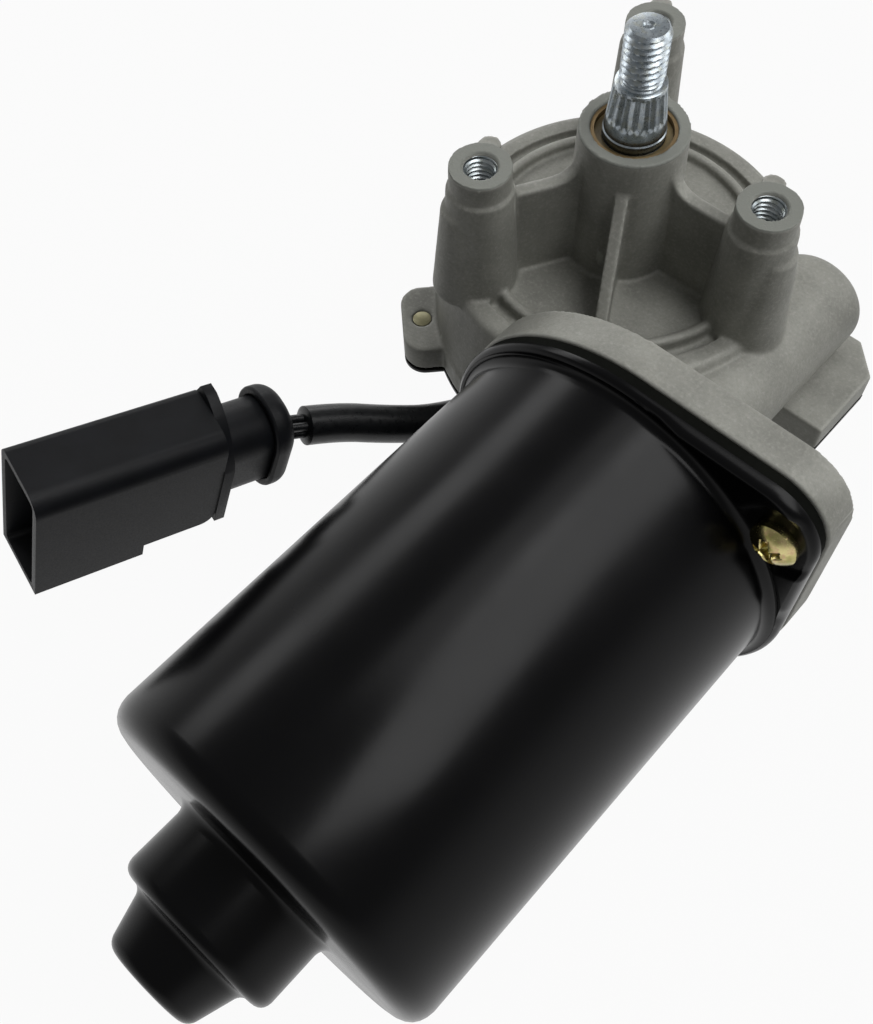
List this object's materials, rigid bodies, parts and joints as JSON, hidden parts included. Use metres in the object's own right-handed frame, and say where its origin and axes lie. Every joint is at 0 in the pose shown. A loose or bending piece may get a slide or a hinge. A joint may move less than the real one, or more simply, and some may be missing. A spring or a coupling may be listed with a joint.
{
  "type": "wiper motor",
  "caption": "Wiper motor: grey die-cast worm gearbox with mounting bosses and a splined output shaft, a black drawn motor can and a short cable with a plug.",
  "frame": {"origin": "on the output shaft's axis, in the plane of the three mounting bosses' faces", "axes": "+Z along the output shaft, out of the gearbox; the motor can points along -Y; +X from the output shaft towards the motor's axis"},
  "size_m": [0.1203, 0.1976, 0.0987],
  "materials": {
    "die_cast": "as-cast, satin grey",
    "black_paint": "satin black dip coat",
    "cover_steel": "satin black",
    "yellow_zinc": "yellow passivated zinc",
    "bright_steel": "turned and ground",
    "plated_shaft": "zinc-nickel plated",
    "core_steel": "stamped laminations",
    "ferrite": "ground ferrite",
    "copper": "drawn copper",
    "enamel_wire": "enamelled copper wire",
    "bronze": "oil-soaked sintered bronze",
    "spring_brass": "rolled spring brass",
    "rubber": "moulded",
    "black_plastic": "moulded, fine grain",
    "white_plastic": "moulded acetal",
    "tan_plastic": "moulded phenolic",
    "carbon": "pressed carbon-copper",
    "gasket_paper": "moulded gasket",
    "cable_skin": "extruded"
  },
  "bodies": {
    "housing": {"gear_housing": "die_cast", "gearbox_cover": "cover_steel", "cover_gasket": "gasket_paper", "cover_screws": "yellow_zinc", "motor_can": "black_paint", "can_gasket": "gasket_paper", "can_screws": "yellow_zinc", "magnet_clips": "bright_steel", "magnet_upper": "ferrite", "magnet_lower": "ferrite", "front_bearing_outer": "bright_steel", "front_bearing_balls": "bright_steel", "bearing_clamp": "bright_steel", "worm_end_bush": "bronze", "worm_thrust_pad": "white_plastic", "rear_bush": "bronze", "bush_retainer": "bright_steel", "thrust_ball": "bright_steel", "thrust_seat": "white_plastic", "brush_plate": "tan_plastic", "brush_boxes": "spring_brass", "carbon_brushes": "carbon", "brush_springs": "bright_steel", "choke_cores": "ferrite", "choke_windings": "enamel_wire", "thrust_washer": "bright_steel", "upper_bush": "bronze", "shaft_seal": "rubber", "lower_bush": "bronze", "shaft_thrust_pad": "white_plastic", "switch_plate": "tan_plastic", "contact_fingers": "spring_brass", "cable_grommet": "rubber", "cable_sheath": "cable_skin", "connector_wires": "cable_skin", "connector_housing": "black_plastic", "connector_cap": "black_plastic", "connector_pins": "spring_brass"},
    "armature": {"armature_shaft": "bright_steel", "armature_core": "core_steel", "core_insulators": "white_plastic", "armature_windings": "enamel_wire", "commutator": "copper", "front_bearing_inner": "bright_steel"},
    "output": {"output_shaft": "plated_shaft", "gear_wheel": "white_plastic", "contact_track": "copper"}
  },
  "joints": [
    {"name": "armature_spin", "type": "hinge", "parent": "housing", "child": "armature", "pos_m": [0.0342, 0, -0.04], "axis": [0, 1, 0], "continuous": true},
    {"name": "output_spin", "type": "hinge", "parent": "housing", "child": "output", "pos_m": [0, 0, 0], "axis": [0, 0, 1], "continuous": true}
  ],
  "couplings": [
    {"joint": "output_spin", "follows": "armature_spin", "ratio": -0.017544}
  ]
}
